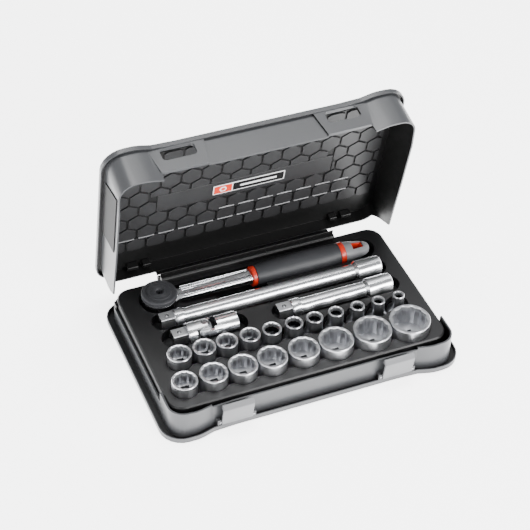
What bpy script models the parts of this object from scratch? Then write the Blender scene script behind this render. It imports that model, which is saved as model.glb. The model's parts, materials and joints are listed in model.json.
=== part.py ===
"""Half-inch socket wrench set in an open plastic case, modelled in millimetres and scaled to metres.

Frame: +Z up, X along the case, -Y towards the person who opens it, origin under the middle of the
base. The lid and everything on it is drawn shut and then turned open about its hinge rod.
"""

import math

import bmesh
import bpy
from mathutils import Matrix, Vector

MM = 0.001

# ---- driving dimensions, in millimetres ----
LID_OPEN = 78.2
HINGE_Y = 99.3
HINGE_Z = 26.1
BASE_SIDE = 155.8
BASE_FRONT = -94.0
BASE_BACK = 95.6
BASE_WALL = 2.0
FLOOR_TOP = 1.8
LID_SIDE = 158.8
LID_FRONT = -96.4
LID_WALL = 1.8
LID_TOP = 49.5
LID_SKIN = 2.0
LIP_SIDE = 164.0
LIP_FRONT = -100.0
LIP_BACK = 101.0
LIP_THICK = 1.4
LIP_HEIGHT = 6.0
CORNER_BULGE = 5.5
SIDE_WALL_TOP = 20.6
FRONT_WALL_TOP = 29.1
EAR_TOP = 34.3
EAR_END_Y = -62.6
TRAY_TOP = 31.4
TRAY_SIDE = 152.6
TRAY_FRONT = -88.6
TRAY_BACK = 92.8
TRAY_SKIN = 2.2
WELL_WALL = 1.6
LATCH_X = 88.0
LATCH_WIDTH = 33.2
LATCH_LEAN = 10.5
LATCH_PIVOT_Y = -99.9
LATCH_PIVOT_Z = 9.5
BLOCK_WIDTH = 41.0
BLOCK_TOP = 12.6
WINDOW_LOW = 27.5
WINDOW_HIGH = 42.5
TOOL_TOP = 44.3
SQUARE = 12.7
RATCHET_X = -111.0
RATCHET_Y = 65.3
LONG_BAR_Y = 32.8
SHORT_BAR_Y = 3.8
BAR_Z = 32.5
JOINT_X = -83.5
JOINT_Y = 6.0
JOINT_Z = 32.0
GAP = 0.3

# nut size: outside diameter of the nut end, place along the row
BACK_ROW_Y = -27.2
BACK_ROW = {
    18: (25.5, -122.2),
    17: (24.2, -95.5),
    16: (23.0, -70.9),
    15: (21.8, -45.7),
    14: (20.6, -21.7),
    13: (19.3, 2.9),
    12: (18.0, 26.1),
    11: (16.7, 50.2),
    10: (15.4, 74.7),
    9: (14.1, 98.7),
    8: (12.8, 122.0),
}
FRONT_ROW_Y = -63.9
FRONT_ROW = {
    19: (26.8, -130.0),
    21: (29.3, -99.4),
    22: (30.6, -68.2),
    23: (31.8, -36.4),
    24: (33.0, -1.9),
    27: (36.8, 33.8),
    30: (40.6, 74.6),
    32: (43.2, 117.3),
}
DRIVE_END = 22.0


def clear_scene():
    for obj in list(bpy.data.objects):
        bpy.data.objects.remove(obj, do_unlink=True)


def material(name, rgb, roughness, metallic=0.0):
    made = bpy.data.materials.new(name)
    made.use_nodes = True
    shader = made.node_tree.nodes["Principled BSDF"]
    shader.inputs["Base Color"].default_value = (*rgb, 1.0)
    shader.inputs["Roughness"].default_value = roughness
    shader.inputs["Metallic"].default_value = metallic
    return made


def empty(name, place, turn_x=0.0):
    """A frame on a joint's axis, in millimetres, turned about X by so many degrees."""
    made = bpy.data.objects.new(name, None)
    bpy.context.scene.collection.objects.link(made)
    made.location = Vector(place) * MM
    made.rotation_euler = (math.radians(turn_x), 0.0, 0.0)
    return made


# ---- meshes: every function here returns a bmesh in millimetres ----


def loft(rings, start_cap=True, end_cap=True):
    """Joins rings of equal point count with quads, first ring to last, and closes both ends."""
    bm = bmesh.new()
    rows = [[bm.verts.new(point) for point in ring] for ring in rings]
    count = len(rows[0])
    for low, high in zip(rows, rows[1:]):
        for i in range(count):
            j = (i + 1) % count
            bm.faces.new((low[i], low[j], high[j], high[i]))
    if start_cap:
        bm.faces.new(list(reversed(rows[0])))
    if end_cap:
        bm.faces.new(rows[-1])
    if not (start_cap or end_cap):
        for i in range(count):
            j = (i + 1) % count
            bm.faces.new((rows[-1][i], rows[-1][j], rows[0][j], rows[0][i]))
    bmesh.ops.remove_doubles(bm, verts=bm.verts, dist=0.005)
    bmesh.ops.recalc_face_normals(bm, faces=bm.faces)
    return bm


def circle(radius, count, turn=0.5):
    step = 2 * math.pi / count
    angles = [(i + turn) * step for i in range(count)]
    return [(radius * math.cos(angle), radius * math.sin(angle)) for angle in angles]


def turned(profile, count, axis="Z", place=(0, 0, 0)):
    """A solid turned from (distance along the axis, radius) pairs."""
    rings = []
    for along, radius in profile:
        ring = []
        for a, b in circle(radius, count):
            point = {"X": (along, a, b), "Y": (b, along, a), "Z": (a, b, along)}[axis]
            ring.append(Vector(point) + Vector(place))
        rings.append(ring)
    return loft(rings)


def prism(outline, low, high, axis="Z"):
    """An outline pushed along an axis. The outline is in the next two axes, in X, Y, Z order."""

    def place(point, along):
        a, b = point
        return {"X": (along, a, b), "Y": (b, along, a), "Z": (a, b, along)}[axis]

    return loft([[place(point, low) for point in outline], [place(point, high) for point in outline]])


def box(low, high):
    corners = [(low[0], low[1]), (high[0], low[1]), (high[0], high[1]), (low[0], high[1])]
    return prism(corners, low[2], high[2])


def rounded_rectangle(x0, y0, x1, y1, radius, steps=5):
    points = []
    corners = [(x1 - radius, y1 - radius, 0), (x0 + radius, y1 - radius, 90)]
    corners += [(x0 + radius, y0 + radius, 180), (x1 - radius, y0 + radius, 270)]
    for cx, cy, start in corners:
        for i in range(steps + 1):
            angle = math.radians(start + 90 * i / steps)
            points.append((cx + radius * math.cos(angle), cy + radius * math.sin(angle)))
    return points


def mesh_object(bm, name):
    mesh = bpy.data.meshes.new(name)
    bm.to_mesh(mesh)
    bm.free()
    made = bpy.data.objects.new(name, mesh)
    bpy.context.scene.collection.objects.link(made)
    return made


def combine(body, joins=(), cuts=()):
    """The body with some bmeshes joined to it and then others cut from it, by exact Booleans."""
    target = mesh_object(body, "target")
    helpers = []
    for operation, tools in (("UNION", joins), ("DIFFERENCE", cuts)):
        for tool in tools:
            helper = mesh_object(tool, "tool")
            helpers.append(helper)
            modifier = target.modifiers.new(operation, "BOOLEAN")
            modifier.operation = operation
            modifier.object = helper
    graph = bpy.context.evaluated_depsgraph_get()
    graph.update()
    result = bmesh.new()
    result.from_mesh(target.evaluated_get(graph).to_mesh())
    for helper in helpers + [target]:
        bpy.data.objects.remove(helper, do_unlink=True)
    bmesh.ops.remove_doubles(result, verts=result.verts, dist=0.002)
    bmesh.ops.dissolve_limit(result, angle_limit=math.radians(0.05), verts=result.verts, edges=result.edges)
    return result


def part(name, bm, finish, frame=None, round_edges=30.0):
    """Makes the node: the mesh is drawn in the case's frame, and sits under its joint's empty."""
    bmesh.ops.triangulate(bm, faces=bm.faces, quad_method="BEAUTY", ngon_method="BEAUTY")
    pivot = frame.location / MM if frame else Vector((0, 0, 0))
    bm.transform(Matrix.Scale(MM, 4) @ Matrix.Translation(-pivot))
    made = mesh_object(bm, name)
    made.data.materials.append(finish)
    made.data.shade_smooth()
    made.data.set_sharp_from_angle(angle=math.radians(round_edges))
    if frame:
        made.parent = frame
    return made


# ---- the case ----


def case_outline(side, front, back, front_radius, back_radius):
    """Outline of the case at one offset, anticlockwise from the middle of the front.

    The front's corners stand forward of its middle by CORNER_BULGE in a soft S. Every outline has
    the same points in the same order, so that rings at different offsets join cleanly.
    """
    half_front = [0.0, 40.0, 63.6, 64.0, 88.0, 112.0, 112.6, 118.0, 124.0, 130.0]
    right = []
    for x in half_front:
        t = min(1.0, max(0.0, (x - 104.0) / 28.0))
        right.append((x, front - CORNER_BULGE * (3 * t * t - 2 * t * t * t)))
    centre = (side - front_radius, front - CORNER_BULGE + front_radius)
    for i in range(7):
        angle = math.radians(-90 + 15 * i)
        right.append((centre[0] + front_radius * math.cos(angle), centre[1] + front_radius * math.sin(angle)))
    for y in (EAR_END_Y - 0.3, EAR_END_Y + 0.3, 0.0, 72.0):
        right.append((side, y))
    centre = (side - back_radius, back - back_radius)
    for i in range(7):
        angle = math.radians(15 * i)
        right.append((centre[0] + back_radius * math.cos(angle), centre[1] + back_radius * math.sin(angle)))
    right += [(100.0, back), (50.0, back), (0.0, back)]
    left = [(-x, y) for x, y in reversed(right[1:-1])]
    return right + left


def base_wall_top(x, y):
    if y > EAR_END_Y:
        return SIDE_WALL_TOP
    if abs(x) < 112.3:
        return FRONT_WALL_TOP
    t = min(1.0, (abs(x) - 112.3) / 30.0)
    return 32.0 + (EAR_TOP - 32.0) * t


def make_base_shell():
    lip = case_outline(LIP_SIDE, LIP_FRONT, LIP_BACK, 24.0, 22.0)
    lip_inside = case_outline(LIP_SIDE - LIP_THICK, LIP_FRONT + LIP_THICK, LIP_BACK - LIP_THICK, 22.6, 20.6)
    wall = case_outline(BASE_SIDE, BASE_FRONT, BASE_BACK, 17.0, 17.0)
    inside = case_outline(BASE_SIDE - BASE_WALL, BASE_FRONT + BASE_WALL, BASE_BACK - BASE_WALL, 15.0, 15.0)

    def level(outline, z):
        return [(x, y, z) for x, y in outline]

    tops = [base_wall_top(x, y) for x, y in wall]
    rings = [
        level(lip, 0.0),
        level(lip, LIP_HEIGHT),
        level(lip_inside, LIP_HEIGHT),
        level(lip_inside, 2.0),
        level(wall, 2.0),
        [(x, y, z) for (x, y), z in zip(wall, tops)],
        [(x, y, z) for (x, y), z in zip(inside, tops)],
        level(inside, FLOOR_TOP),
    ]
    half = BLOCK_WIDTH / 2
    blocks, pockets = [], []
    for x in (-LATCH_X, LATCH_X):
        blocks.append(box((x - half, LIP_FRONT - 0.2, 0.4), (x + half, BASE_FRONT + 0.9, BLOCK_TOP)))
        room = LATCH_WIDTH / 2 + 0.5
        pockets.append(box((x - room, -105.0, LATCH_PIVOT_Z - 3.2), (x + room, -96.4, 20.0)))
        middle = (0, LATCH_PIVOT_Y, LATCH_PIVOT_Z)
        bore = turned([(x - half + 1.2, 1.5), (x + half - 1.2, 1.5)], 12, "X", middle)
        pockets.append(bore)
    return combine(loft(rings), blocks, pockets)


def lid_rim(x, y):
    """Height of the shut lid's rim at a place on its wall."""
    if y > 90.0:
        return 34.0
    if y > 71.0:
        return 2.6 + 28.0 * (y - 71.0) / 17.0 if y < 88.0 else 30.6 + (y - 88.0) * 1.7
    if y > -80.0:
        return 2.6
    if abs(x) > 112.3:
        return 5.3
    return 14.4 if abs(x) > 63.8 else 12.8


def make_lid_shell():
    lip = case_outline(LIP_SIDE, LIP_FRONT, LIP_BACK, 24.0, 22.0)
    lip_top = case_outline(LIP_SIDE - 1.0, LIP_FRONT + 1.0, LIP_BACK - 1.0, 23.0, 21.0)
    lip_inside = case_outline(LIP_SIDE - LIP_THICK, LIP_FRONT + LIP_THICK, LIP_BACK - LIP_THICK, 22.6, 20.6)
    wall = case_outline(LID_SIDE, LID_FRONT, BASE_BACK, 19.0, 18.0)
    inside = case_outline(LID_SIDE - LID_WALL, LID_FRONT + LID_WALL, BASE_BACK - LID_WALL, 17.2, 16.2)
    ceiling = LID_TOP - LID_SKIN

    def level(outline, z):
        return [(x, y, z) for x, y in outline]

    rims = [lid_rim(x, y) for x, y in wall]
    rings = [
        level(lip_top, LID_TOP),
        level(lip, LID_TOP - 1.2),
        level(lip, LID_TOP - LIP_HEIGHT),
        level(lip_inside, LID_TOP - LIP_HEIGHT),
        level(lip_inside, ceiling),
        level(wall, ceiling),
        [(x, y, z) for (x, y), z in zip(wall, rims)],
        [(x, y, z) for (x, y), z in zip(inside, rims)],
        level(inside, ceiling),
    ]
    frames, windows = [], []
    for x in (-LATCH_X, LATCH_X):
        outline = [(14.0, x - 24.4), (14.0, x + 24.4), (48.6, x + 30.0), (48.6, x - 30.0)]
        frames.append(prism(outline, -98.9, LID_FRONT + 0.1, "Y"))
        opening = rounded_rectangle(WINDOW_LOW, x - 18.0, WINDOW_HIGH, x + 18.0, 4.0, 3)
        windows.append(prism(opening, -103.0, -93.0, "Y"))
    return combine(loft(rings), frames, windows)


def make_lid_pad():
    """The tiled liner under the lid's skin, up to the smooth strip by the hinge."""
    top = LID_TOP - LID_SKIN - GAP
    outline = rounded_rectangle(-150.0, -88.0, 150.0, 63.0, 14.0)
    return prism(outline, top - 1.8, top)


def make_badge():
    top = LID_TOP - LID_SKIN - GAP - 1.8 - 0.1
    return prism(rounded_rectangle(-40.0, -15.0, 40.0, -1.0, 0.8, 2), top - 0.5, top)


def make_side_plate(side):
    inner = LID_SIDE + GAP
    outline = [(-80.0, 8.0), (4.0, 8.0), (12.0, 41.0), (-68.0, 41.0)]
    bm = prism(outline, inner, inner + 0.8, "X")
    if side < 0:
        bm.transform(Matrix.Scale(-1, 4, Vector((1, 0, 0))))
        bmesh.ops.reverse_faces(bm, faces=bm.faces)
    return bm


def make_latch(x):
    """The hooked latch, drawn upright: a plate on a knuckle, with a head that enters the lid's window."""
    knuckle = []
    for i in range(9):
        angle = math.radians(200 + 20 * i)
        knuckle.append((LATCH_PIVOT_Y + 2.6 * math.cos(angle), LATCH_PIVOT_Z + 2.6 * math.sin(angle)))
    outline = knuckle + [(-99.3, 13.5), (-99.3, 29.4), (-95.8, 29.6), (-95.8, 34.2), (-96.4, 35.6)]
    outline += [(-97.4, 35.9), (-100.9, 31.6), (-101.6, 30.2), (-101.7, 13.0)]
    half = LATCH_WIDTH / 2
    bore = turned([(x - half - 1, 1.5), (x + half + 1, 1.5)], 12, "X", (0, LATCH_PIVOT_Y, LATCH_PIVOT_Z))
    return combine(prism(outline, x - half, x + half, "X"), (), [bore])


KNUCKLES = ((-100.0, -90.2), (-89.8, -5.2), (-4.8, 4.8), (5.2, 89.8), (90.2, 100.0))


def make_hinge_leaf(knuckles, low, high, web_low, web_high):
    """A long flat leaf on the back wall, with knuckles round the rod."""
    plate = box((-100.0, 95.9, low), (100.0, 97.9, high))
    joins = []
    for x0, x1 in knuckles:
        joins.append(turned([(x0, 4.5), (x1, 4.5)], 16, "X", (0, HINGE_Y, HINGE_Z)))
        joins.append(box((x0 + 0.05, 95.95, web_low), (x1 - 0.05, 98.6, web_high)))
    bore = turned([(-105.0, 2.3), (105.0, 2.3)], 12, "X", (0, HINGE_Y, HINGE_Z))
    return combine(plate, joins, [bore])


def make_corner_buffer(side):
    low_x, high_x = (152.9, 154.9) if side > 0 else (-154.9, -152.9)
    outline = rounded_rectangle(low_x, 77.0, high_x, 84.0, 0.8, 3)
    return prism(outline, SIDE_WALL_TOP + GAP, 26.0)


# ---- the tray that holds the tools ----


def socket_length(size):
    return 36.0 if size < 15 else 38.0 if size < 20 else 39.5 if size < 25 else 40.8


def slot_outline(x0, x1, y, half, steps=5):
    return rounded_rectangle(x0, y - half, x1, y + half, half - 0.05, steps)


def tray_wells():
    """(outline, floor height) of each pocket in the tray, the deepest of each pair last."""
    wells = [
        (slot_outline(-98.0, 137.0, RATCHET_Y, 15.6), 15.4),
        (circle_at(RATCHET_X, RATCHET_Y, 21.5, 24), 16.5),
        (circle_at(RATCHET_X, RATCHET_Y, 11.0, 16), 3.7),
        (slot_outline(-130.5, 136.0, LONG_BAR_Y, 12.6), 19.8),
        (slot_outline(-8.0, 138.0, SHORT_BAR_Y, 12.6), 19.8),
        (slot_outline(-129.0, -35.0, JOINT_Y, 14.4), 18.8),
        (rounded_rectangle(-54.0, 26.0, 4.6, 76.0, 6.0), 13.5),
        (rounded_rectangle(-122.0, BACK_ROW_Y - 8.0, 122.0, BACK_ROW_Y + 8.0, 7.9), 16.0),
        (rounded_rectangle(-130.0, FRONT_ROW_Y - 10.0, 117.0, FRONT_ROW_Y + 10.0, 9.9), 16.0),
    ]
    for row_y, row in ((BACK_ROW_Y, BACK_ROW), (FRONT_ROW_Y, FRONT_ROW)):
        for size, (width, x) in row.items():
            radius = max(width, DRIVE_END) / 2 + 0.7
            wells.append((circle_at(x, row_y, radius, 20), TOOL_TOP - socket_length(size) - GAP))
    return wells


def circle_at(x, y, radius, count):
    return [(x + a, y + b) for a, b in circle(radius, count, 0.37)]


def grown(outline, by):
    """The outline moved outwards from each edge by a set distance."""
    count = len(outline)
    moved = []
    for i in range(count):
        before, here, after = Vector(outline[i - 1]), Vector(outline[i]), Vector(outline[(i + 1) % count])
        first = (here - before).normalized()
        second = (after - here).normalized()
        normal = Vector((first.y + second.y, -first.x - second.x)).normalized()
        moved.append(tuple(here + normal * by))
    return moved


def make_tray():
    edge = rounded_rectangle(-TRAY_SIDE, TRAY_FRONT, TRAY_SIDE, TRAY_BACK, 16.0, 5)
    side = TRAY_SIDE - 1.4
    top_edge = rounded_rectangle(-side, TRAY_FRONT + 1.4, side, TRAY_BACK - 1.4, 14.6, 5)
    inner = rounded_rectangle(-TRAY_SIDE + 2, TRAY_FRONT + 2, TRAY_SIDE - 2, TRAY_BACK - 2, 14.0, 5)
    cover = loft(
        [
            [(x, y, 2.2) for x, y in edge],
            [(x, y, TRAY_TOP - 1.4) for x, y in edge],
            [(x, y, TRAY_TOP) for x, y in top_edge],
        ]
    )
    hollow = prism(inner, 1.0, TRAY_TOP - TRAY_SKIN)
    shell = combine(cover, (), [hollow])
    wells = tray_wells()
    tubes = []
    for i, (outline, floor) in enumerate(wells):
        tubes.append(prism(grown(outline, WELL_WALL), max(2.3, floor - 1.5), TRAY_TOP - 0.6 - 0.01 * i))
    pockets = [prism(outline, floor, TRAY_TOP + 3.0 + 0.05 * i) for i, (outline, floor) in enumerate(wells)]
    return combine(shell, tubes, pockets)


# ---- the tools ----


def square_ring(half, count, z):
    """A square outline with an even number of points on each side, to join with round rings."""
    points = []
    for i in range(count):
        angle = 2 * math.pi * (i + 0.5) / count
        reach = half / max(abs(math.cos(angle)), abs(math.sin(angle)))
        points.append((reach * math.cos(angle), reach * math.sin(angle), z))
    return points


def star_ring(across_flats, z):
    """The twelve-point outline: two hexagons laid over each other, 30 degrees apart."""
    corner = across_flats / 2 / math.cos(math.radians(30))
    notch = across_flats / 2 / math.cos(math.radians(15))
    radii = (corner * 0.985, notch)
    points = []
    for i in range(24):
        angle = math.radians(15 * i + 7.5)
        points.append((radii[i % 2] * math.cos(angle), radii[i % 2] * math.sin(angle), z))
    return points


def make_socket(size, nut_end):
    """A twelve-point socket, drive end down, with its origin on the axis at the drive end."""
    length = socket_length(size)
    drive = max(DRIVE_END, nut_end) / 2
    nut = nut_end / 2
    bore_depth = min(0.62 * size + 3.5, length - 17.0)

    def ring(radius, z):
        return [(x, y, z) for x, y in circle(radius, 24)]

    rings = [
        square_ring(SQUARE / 2 + 0.1, 24, 0.0),
        ring(drive - 0.8, 0.0),
        ring(drive, 0.8),
    ]
    if drive - nut > 0.5:
        rings += [ring(drive, 15.0), ring(nut, 15.0 + (drive - nut) * 1.2)]
    rings += [
        ring(nut, length - 0.8),
        ring(nut - 0.6, length),
        star_ring(size + 0.2, length - 0.4),
        star_ring(size + 0.2, length - bore_depth),
        square_ring(SQUARE / 2 + 0.1, 24, length - bore_depth - 1.0) if size > 14 else None,
        square_ring(min(SQUARE, 0.8 * size) / 2, 24, length - bore_depth - 1.0) if size <= 14 else None,
        square_ring(min(SQUARE, 0.8 * size) / 2, 24, 15.0) if size <= 14 else None,
        square_ring(SQUARE / 2 + 0.1, 24, 15.0 - 0.5) if size <= 14 else None,
    ]
    return loft([r for r in rings if r], False, False)


def square_prism(x0, x1, y, z, half):
    return prism(rounded_rectangle(y - half, z - half, y + half, z + half, 1.0, 2), x0, x1, "X")


def make_extension(x0, length, y):
    """A round bar: male square at the low-X end, female square at the other."""
    end = x0 + length
    neck = x0 + 15.0
    profile = [
        (neck, 8.8),
        (neck + 1.2, 9.4),
        (neck + 9.0, 9.4),
        (neck + 12.0, 8.2),
        (end - 31.0, 8.2),
        (end - 27.5, 10.9),
        (end - 1.0, 10.9),
        (end, 10.0),
    ]
    bar = turned(profile, 24, "X", (0, y, BAR_Z))
    male = square_prism(x0, neck + 1.0, y, BAR_Z, SQUARE / 2)
    hole = square_prism(end - 16.0, end + 1.0, y, BAR_Z, SQUARE / 2 + 0.1)
    dimple = turned([(BAR_Z + 2.6, 2.4), (BAR_Z + 8.0, 2.4)], 12, "Z", (x0 + 7.5, y, 0))
    return combine(bar, [male], [hole, dimple])


def make_ball(x, y, z):
    profile = [(-1.8, 0.6), (-1.5, 1.3), (-0.6, 2.0), (0.6, 2.0), (1.5, 1.3), (1.8, 0.6)]
    return turned(profile, 10, "Z", (x, y, z))


HEAD_LOW = 20.0
HEAD_HIGH = 36.9
SHANK_Z = 30.6


SHANK_OUTLINE = rounded_rectangle(-1, -1, 1, 1, 0.85, 4)


def make_ratchet_body():
    """The chrome head, a ring open above and below, with its shank and the tang inside the grip."""
    head = turned([(HEAD_LOW, 16.4), (HEAD_LOW + 1.2, 17.6), (HEAD_HIGH - 1.0, 17.6), (HEAD_HIGH, 16.8)], 32)
    head.transform(Matrix.Translation((RATCHET_X, RATCHET_Y, 0)))
    shank = loft(
        [
            [(x, RATCHET_Y + a * wide, SHANK_Z + b * tall) for a, b in SHANK_OUTLINE]
            for x, wide, tall in ((-99.0, 10.4, 5.4), (-88.0, 8.0, 5.4), (-60.0, 7.8, 5.8), (-8.0, 8.8, 6.6))
        ]
    )
    tang = turned([(-9.0, 5.0), (104.0, 5.0)], 12, "X", (0, RATCHET_Y, SHANK_Z))
    chamber = turned([(HEAD_LOW + 2.2, 13.4), (HEAD_HIGH + 1, 13.4)], 32)
    chamber.transform(Matrix.Translation((RATCHET_X, RATCHET_Y, 0)))
    mouth = turned([(HEAD_LOW - 1, 10.0), (HEAD_LOW + 4, 10.0)], 24)
    mouth.transform(Matrix.Translation((RATCHET_X, RATCHET_Y, 0)))
    return combine(head, [shank, tang], [chamber, mouth])


def make_ratchet_gear():
    """The toothed wheel with its drive square below, seen only from underneath."""

    def ring(radius, z, teeth=0.0):
        return [
            ((radius - teeth * (i % 2)) * math.cos(math.radians(7.5 * (i + 0.5))),
             (radius - teeth * (i % 2)) * math.sin(math.radians(7.5 * (i + 0.5))), z)
            for i in range(48)
        ]

    rings = [
        square_ring(SQUARE / 2 - 0.6, 48, 5.0),
        square_ring(SQUARE / 2, 48, 6.0),
        square_ring(SQUARE / 2, 48, 19.4),
        ring(9.6, 19.5),
        ring(9.6, HEAD_LOW + 2.5),
        ring(10.6, HEAD_LOW + 2.6, 0.8),
        ring(10.6, 31.5, 0.8),
        ring(8.0, 31.6),
        ring(8.0, 33.4),
    ]
    gear = loft(rings)
    dimple = turned([(3.0, 2.4), (8.0, 2.4)], 10, "X", (0, 0, 12.5))
    gear = combine(gear, (), [dimple])
    gear.transform(Matrix.Translation((RATCHET_X, RATCHET_Y, 0)))
    return gear


def make_ratchet_pawl():
    """A curved pawl between the wheel and the chamber wall, carried round by the dial."""
    outline = []
    for i in range(7):
        angle = math.radians(-24 + 8 * i)
        outline.append((13.0 * math.cos(angle), 13.0 * math.sin(angle)))
    for i in range(7):
        angle = math.radians(24 - 8 * i)
        outline.append((11.0 * math.cos(angle), 11.0 * math.sin(angle)))
    bm = prism(outline, HEAD_LOW + 2.6, 31.5)
    bm.transform(Matrix.Translation((RATCHET_X, RATCHET_Y, 0)))
    return bm


def make_ratchet_dial():
    """The round selector on the head, with a hole for its screw."""
    rings = []
    under = HEAD_HIGH + GAP
    for z, radius in ((34.4, 12.6), (under, 12.6), (under, 18.4), (39.4, 18.6), (41.6, 18.6)):
        rings.append([(x, y, z) for x, y in circle(radius, 36)])
    for z, radius in ((42.2, 18.0), (42.6, 13.0), (43.3, 12.2), (43.3, 4.2), (42.3, 3.6), (34.4, 3.6)):
        rings.append([(x, y, z) for x, y in circle(radius, 36)])
    bm = loft(rings, False, False)
    bm.transform(Matrix.Translation((RATCHET_X, RATCHET_Y, 0)))
    return bm


def make_dial_screw():
    bm = turned([(33.7, 2.0), (34.6, 3.2), (41.0, 3.2)], 16)
    socket = prism(circle(1.6, 6), 38.5, 42.0)
    bm = combine(bm, (), [socket])
    bm.transform(Matrix.Translation((RATCHET_X, RATCHET_Y, 0)))
    return bm


GRIP_START = -2.8
GRIP_END = 94.0


def grip_radius(x):
    t = (x - GRIP_START) / (GRIP_END - GRIP_START)
    return 11.0 + 2.7 * math.sin(math.pi * min(1.0, 0.08 + 0.62 * t)) - 1.0 * max(0.0, t - 0.7)


def make_grip():
    count = 10
    places = [GRIP_START + (GRIP_END - GRIP_START) * i / count for i in range(count + 1)]
    body = turned([(x, grip_radius(x)) for x in places], 24, "X", (0, RATCHET_Y, SHANK_Z))
    bore = turned([(GRIP_START - 1, 5.3), (GRIP_END + 1, 5.3)], 12, "X", (0, RATCHET_Y, SHANK_Z))
    return combine(body, (), [bore])


def make_ring(x0, x1, radius):
    body = turned([(x0, radius - 0.4), (x0 + 0.5, radius), (x1 - 0.5, radius), (x1, radius - 0.4)], 24, "X",
                  (0, RATCHET_Y, SHANK_Z))
    bore = turned([(x0 - 1, 5.3), (x1 + 1, 5.3)], 12, "X", (0, RATCHET_Y, SHANK_Z))
    return combine(body, (), [bore])


def make_end_cap():
    """The hard end of the grip, flattened to its tip, with a four-sided hanging hole."""
    rings = []
    sizes = [(100.3, 12.2, 12.2), (108.0, 12.0, 10.6), (118.0, 10.6, 8.4)]
    sizes += [(125.0, 8.6, 7.0), (129.0, 6.0, 5.6), (130.6, 3.4, 3.6)]
    for x, wide, tall in sizes:
        rings.append([(x, RATCHET_Y + a * wide, SHANK_Z + b * tall) for a, b in circle(1.0, 24)])
    bore = turned([(99.0, 5.3), (104.6, 5.3)], 12, "X", (0, RATCHET_Y, SHANK_Z))
    y = RATCHET_Y
    outline = [(109.5, y - 6.6), (123.0, y - 4.2), (123.0, y + 4.2), (109.5, y + 6.6)]
    return combine(loft(rings), (), [bore, prism(outline, 10.0, 50.0)])


def make_hole_liner():
    """The coloured lining of the hanging hole."""
    y = RATCHET_Y
    outer = [(109.8, y - 6.2), (122.7, y - 3.9), (122.7, y + 3.9), (109.8, y + 6.2)]
    inner = [(111.2, y - 4.7), (121.3, y - 2.9), (121.3, y + 2.9), (111.2, y + 4.7)]
    low, high = SHANK_Z - 5.8, SHANK_Z + 5.8
    rings = [[(a, b, low) for a, b in inner], [(a, b, low) for a, b in outer]]
    rings += [[(a, b, high) for a, b in outer], [(a, b, high) for a, b in inner]]
    return loft(rings, False, False)


def make_drive_fork():
    """The universal joint's male half: square, body and two ears above and below the cross."""
    x, y, z = JOINT_X, JOINT_Y, JOINT_Z
    body = turned([(x - 19.5, 11.0), (x - 18.5, 11.8), (x - 11.0, 11.8)], 24, "X", (0, y, z))
    joins = [square_prism(JOINT_X - 34.5, JOINT_X - 19.0, y, z, SQUARE / 2)]
    ears = turned([(JOINT_X - 12.0, 11.8), (JOINT_X + 3.0, 11.8), (JOINT_X + 7.0, 9.0)], 24, "X", (0, y, z))
    gap = box((JOINT_X - 9.9, y - 15, z - 6.9), (JOINT_X + 9.0, y + 15, z + 6.9))
    joins.append(combine(ears, (), [gap]))
    bore = turned([(z - 13, 3.2), (z + 13, 3.2)], 12, "Z", (JOINT_X, y, 0))
    dimple = turned([(z + 2.6, 2.4), (z + 8.0, 2.4)], 12, "Z", (JOINT_X - 27.0, y, 0))
    sides = []
    for side_y in (y - 10.1, y + 10.1):
        sides.append(box((x - 9.9, side_y - 3.5, z - 13), (x + 9.0, side_y + 3.5, z + 13)))
    return combine(body, joins, [bore, dimple] + sides)


def make_cross():
    half = 6.5
    middle = (JOINT_X, JOINT_Y, JOINT_Z)
    body = box([m - half for m in middle], [m + half for m in middle])
    upright = turned([(JOINT_Z - 9, 3.2), (JOINT_Z + 9, 3.2)], 12, "Z", (JOINT_X, JOINT_Y, 0))
    across = []
    for low, high in ((JOINT_Y - 9, JOINT_Y - 4.2), (JOINT_Y + 4.2, JOINT_Y + 9)):
        across.append(turned([(low, 3.2), (high, 3.2)], 12, "Y", (JOINT_X, 0, JOINT_Z)))
    return combine(body, (), [upright] + across)


def make_socket_fork():
    """The female half: two ears either side of the cross, and a square socket."""
    x, y, z = JOINT_X, JOINT_Y, JOINT_Z
    body = turned([(x + 13.6, 11.8), (x + 35.5, 11.8), (x + 36.5, 11.0)], 24, "X", (0, y, z))
    ears = turned([(JOINT_X - 7.0, 9.0), (JOINT_X - 3.0, 11.8), (JOINT_X + 14.6, 11.8)], 24, "X", (0, y, z))
    gap = box((JOINT_X - 9.0, y - 7.0, z - 15), (JOINT_X + 12.6, y + 7.0, z + 15))
    trims = []
    for side_z in (z - 9.6, z + 9.6):
        trims.append(box((x - 9.0, y - 15, side_z - 3.0), (x + 9.0, y + 15, side_z + 3.0)))
    ears = combine(ears, (), [gap] + trims)
    bore = turned([(y - 13, 3.2), (y + 13, 3.2)], 12, "Y", (JOINT_X, 0, z))
    hole = square_prism(JOINT_X + 21.5, JOINT_X + 38.0, y, z, SQUARE / 2 + 0.1)
    return combine(body, [ears], [bore, hole])


def make_upright_pin():
    return turned([(JOINT_Z - 11.0, 2.9), (JOINT_Z + 11.0, 2.9)], 12, "Z", (JOINT_X, JOINT_Y, 0))


def make_level_pin(side):
    """Two short pins hold the socket's fork to the cross, one on each side of the upright pin."""
    low, high = (4.5, 11.2) if side > 0 else (-11.2, -4.5)
    return turned([(JOINT_Y + low, 2.9), (JOINT_Y + high, 2.9)], 12, "Y", (JOINT_X, 0, JOINT_Z))


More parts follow.
